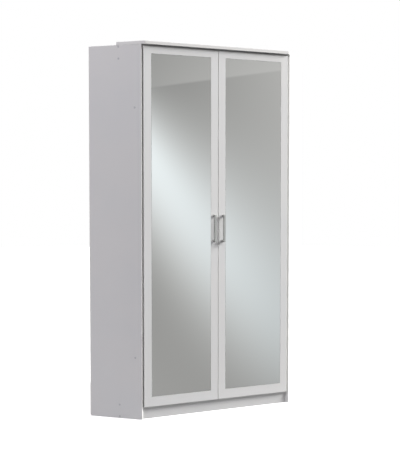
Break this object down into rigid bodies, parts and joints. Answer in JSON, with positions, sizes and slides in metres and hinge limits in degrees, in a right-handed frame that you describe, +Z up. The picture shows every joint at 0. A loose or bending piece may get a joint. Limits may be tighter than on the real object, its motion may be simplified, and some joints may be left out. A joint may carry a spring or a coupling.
{
  "type": "corner wardrobe with two mirror doors",
  "caption": "White corner wardrobe on a five-sided plan, with a diagonal front of two hinged mirror doors, bar handles, shelves and a clothes rail inside.",
  "frame": {"origin": "middle of the bounding box, on the floor", "axes": "+Z up, -Y out of the doors' front, +X to the right seen from the front; the room corner is at +Y"},
  "size_m": [1.3194, 0.8974, 1.98],
  "materials": {
    "white_board": "white melamine-faced chipboard with a fine pearl grain",
    "back_board": "hardboard, white-lacquered inside, plain brown on the wall side",
    "bare_wood": "planed spruce",
    "mirror": "silvered float glass with ground edges",
    "handle_metal": "brushed",
    "nickel": "nickel-plated",
    "clear_rubber": "clear soft plastic"
  },
  "bodies": {
    "carcass": {"back_panel_left": "back_board", "back_panel_right": "back_board", "base_stretcher": "white_board", "bottom_panel": "white_board", "clothes_rail": "nickel", "corner_post": "bare_wood", "crown_board": "white_board", "hat_shelf": "white_board", "hinge_arm_left_1": "nickel", "hinge_arm_left_2": "nickel", "hinge_arm_left_3": "nickel", "hinge_arm_left_4": "nickel", "hinge_arm_right_1": "nickel", "hinge_arm_right_2": "nickel", "hinge_arm_right_3": "nickel", "hinge_arm_right_4": "nickel", "hinge_plate_left_1": "nickel", "hinge_plate_left_2": "nickel", "hinge_plate_left_3": "nickel", "hinge_plate_left_4": "nickel", "hinge_plate_right_1": "nickel", "hinge_plate_right_2": "nickel", "hinge_plate_right_3": "nickel", "hinge_plate_right_4": "nickel", "lower_shelf": "white_board", "plinth_board": "white_board", "rail_bracket_left": "nickel", "rail_bracket_right": "nickel", "side_panel_left": "white_board", "side_panel_right": "white_board", "top_panel": "white_board", "top_stretcher": "white_board"},
    "hinge_links_left": {"hinge_link_left_1": "nickel", "hinge_link_left_2": "nickel", "hinge_link_left_3": "nickel", "hinge_link_left_4": "nickel"},
    "door_left": {"door_bumper_left_high": "clear_rubber", "door_bumper_left_low": "clear_rubber", "door_leaf_left": "white_board", "handle_left": "handle_metal", "hinge_cup_left_1": "nickel", "hinge_cup_left_2": "nickel", "hinge_cup_left_3": "nickel", "hinge_cup_left_4": "nickel", "mirror_left": "mirror"},
    "hinge_links_right": {"hinge_link_right_1": "nickel", "hinge_link_right_2": "nickel", "hinge_link_right_3": "nickel", "hinge_link_right_4": "nickel"},
    "door_right": {"door_bumper_right_high": "clear_rubber", "door_bumper_right_low": "clear_rubber", "door_leaf_right": "white_board", "handle_right": "handle_metal", "hinge_cup_right_1": "nickel", "hinge_cup_right_2": "nickel", "hinge_cup_right_3": "nickel", "hinge_cup_right_4": "nickel", "mirror_right": "mirror"}
  },
  "joints": [
    {"name": "left_link_hinge", "type": "hinge", "parent": "carcass", "child": "hinge_links_left", "pos_m": [-0.39875, -0.39671, 1], "axis": [0, 0, 1], "range_deg": [0, 42]},
    {"name": "left_door_hinge", "type": "hinge", "parent": "hinge_links_left", "child": "door_left", "pos_m": [-0.423, -0.41071, 1], "axis": [0, 0, -1], "range_deg": [0, 147]},
    {"name": "right_link_hinge", "type": "hinge", "parent": "carcass", "child": "hinge_links_right", "pos_m": [0.39875, -0.39671, 1], "axis": [0, 0, -1], "range_deg": [0, 42]},
    {"name": "right_door_hinge", "type": "hinge", "parent": "hinge_links_right", "child": "door_right", "pos_m": [0.423, -0.41071, 1], "axis": [0, 0, 1], "range_deg": [0, 147]}
  ],
  "couplings": [
    {"joint": "left_link_hinge", "follows": "left_door_hinge", "ratio": 0.28571},
    {"joint": "right_link_hinge", "follows": "right_door_hinge", "ratio": 0.28571}
  ]
}
